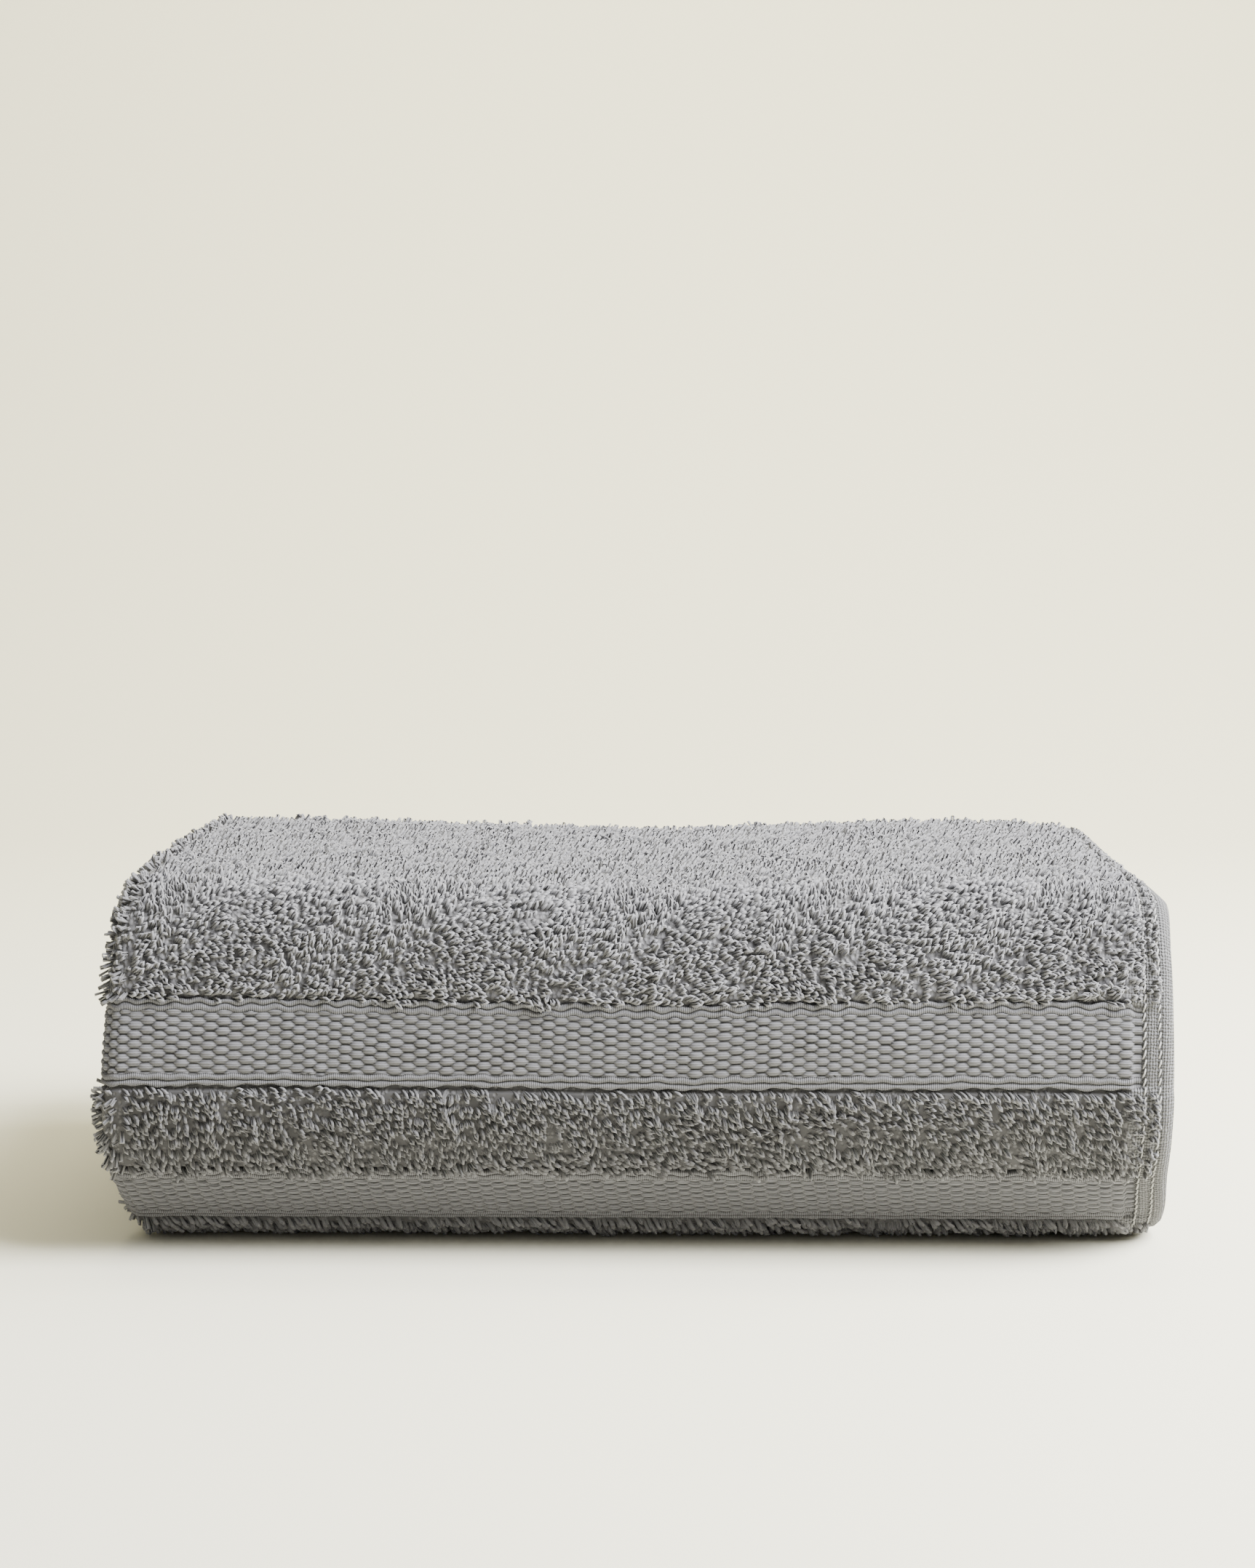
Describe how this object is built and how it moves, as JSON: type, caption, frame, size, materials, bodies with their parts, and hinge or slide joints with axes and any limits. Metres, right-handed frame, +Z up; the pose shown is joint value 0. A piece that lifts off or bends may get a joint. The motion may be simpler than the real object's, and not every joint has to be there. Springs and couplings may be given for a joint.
{
  "type": "folded bath towel",
  "caption": "Thick terry bath towel folded in half across its width and then into a stack of layers, with two woven border bands across the front.",
  "frame": {"origin": "on the surface that the towel rests on, under the middle of its outer box", "axes": "+X along the front edge, from the plain fold at the left to the side hems at the right; +Y from the front with the border bands to the back; +Z up"},
  "size_m": [0.3532, 0.2478, 0.1238],
  "materials": {
    "terry": "looped cotton terry, matte mid grey"
  },
  "bodies": {
    "root": {"towel": "terry"}
  },
  "joints": []
}
